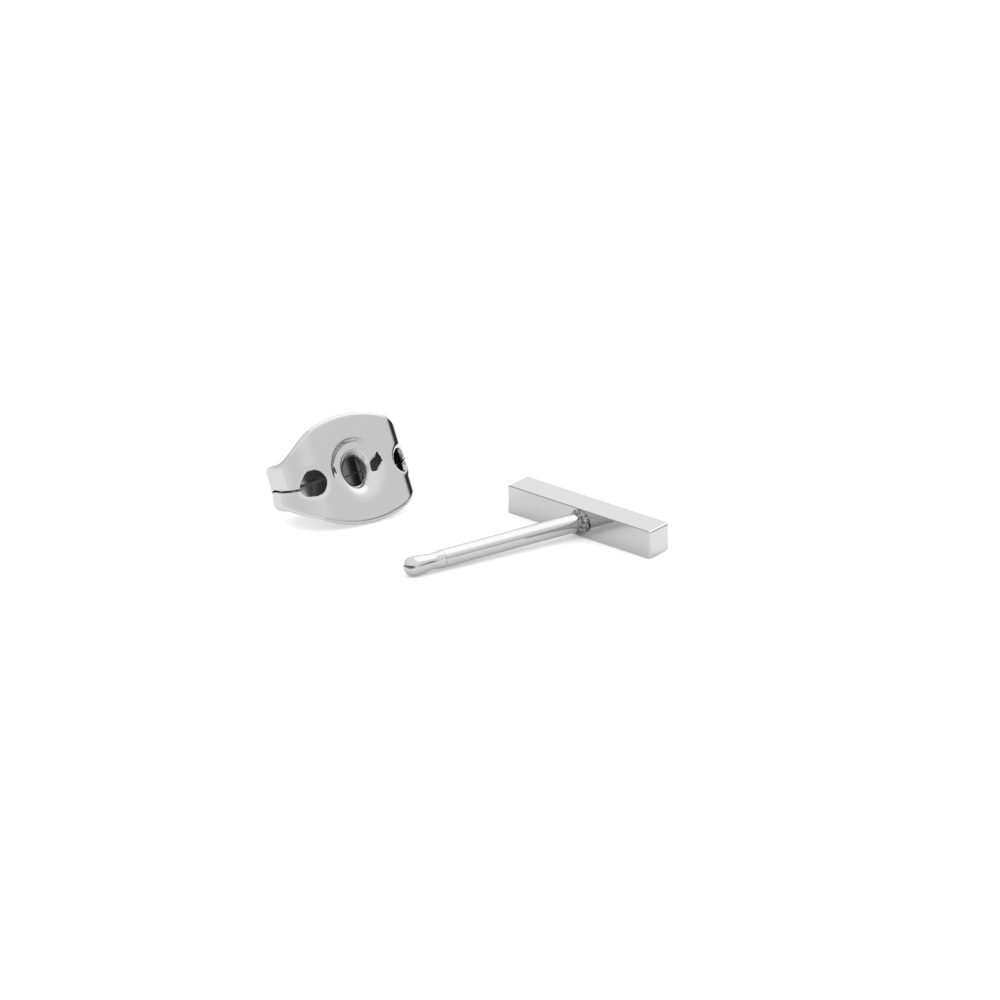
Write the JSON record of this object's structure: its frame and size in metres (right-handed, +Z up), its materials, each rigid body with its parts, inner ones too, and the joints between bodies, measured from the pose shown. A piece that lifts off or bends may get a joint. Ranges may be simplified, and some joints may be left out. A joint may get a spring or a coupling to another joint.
{
  "type": "bar stud earring with butterfly back",
  "caption": "Slim rectangular bar stud lying on its side, its round post soldered square to the bar's back, with a loose bent-sheet butterfly back beside it.",
  "frame": {"origin": "middle of the whole layout's box, on the surface that both pieces lie on", "axes": "+X along the bar, -Y the way the post points, +Z up from the surface"},
  "size_m": [0.0175, 0.0124, 0.005],
  "materials": {
    "stud_silver": "polished sterling silver",
    "back_silver": "polished sterling silver sheet"
  },
  "bodies": {
    "root": {"bar_stud": "stud_silver", "butterfly_back": "back_silver"}
  },
  "joints": []
}
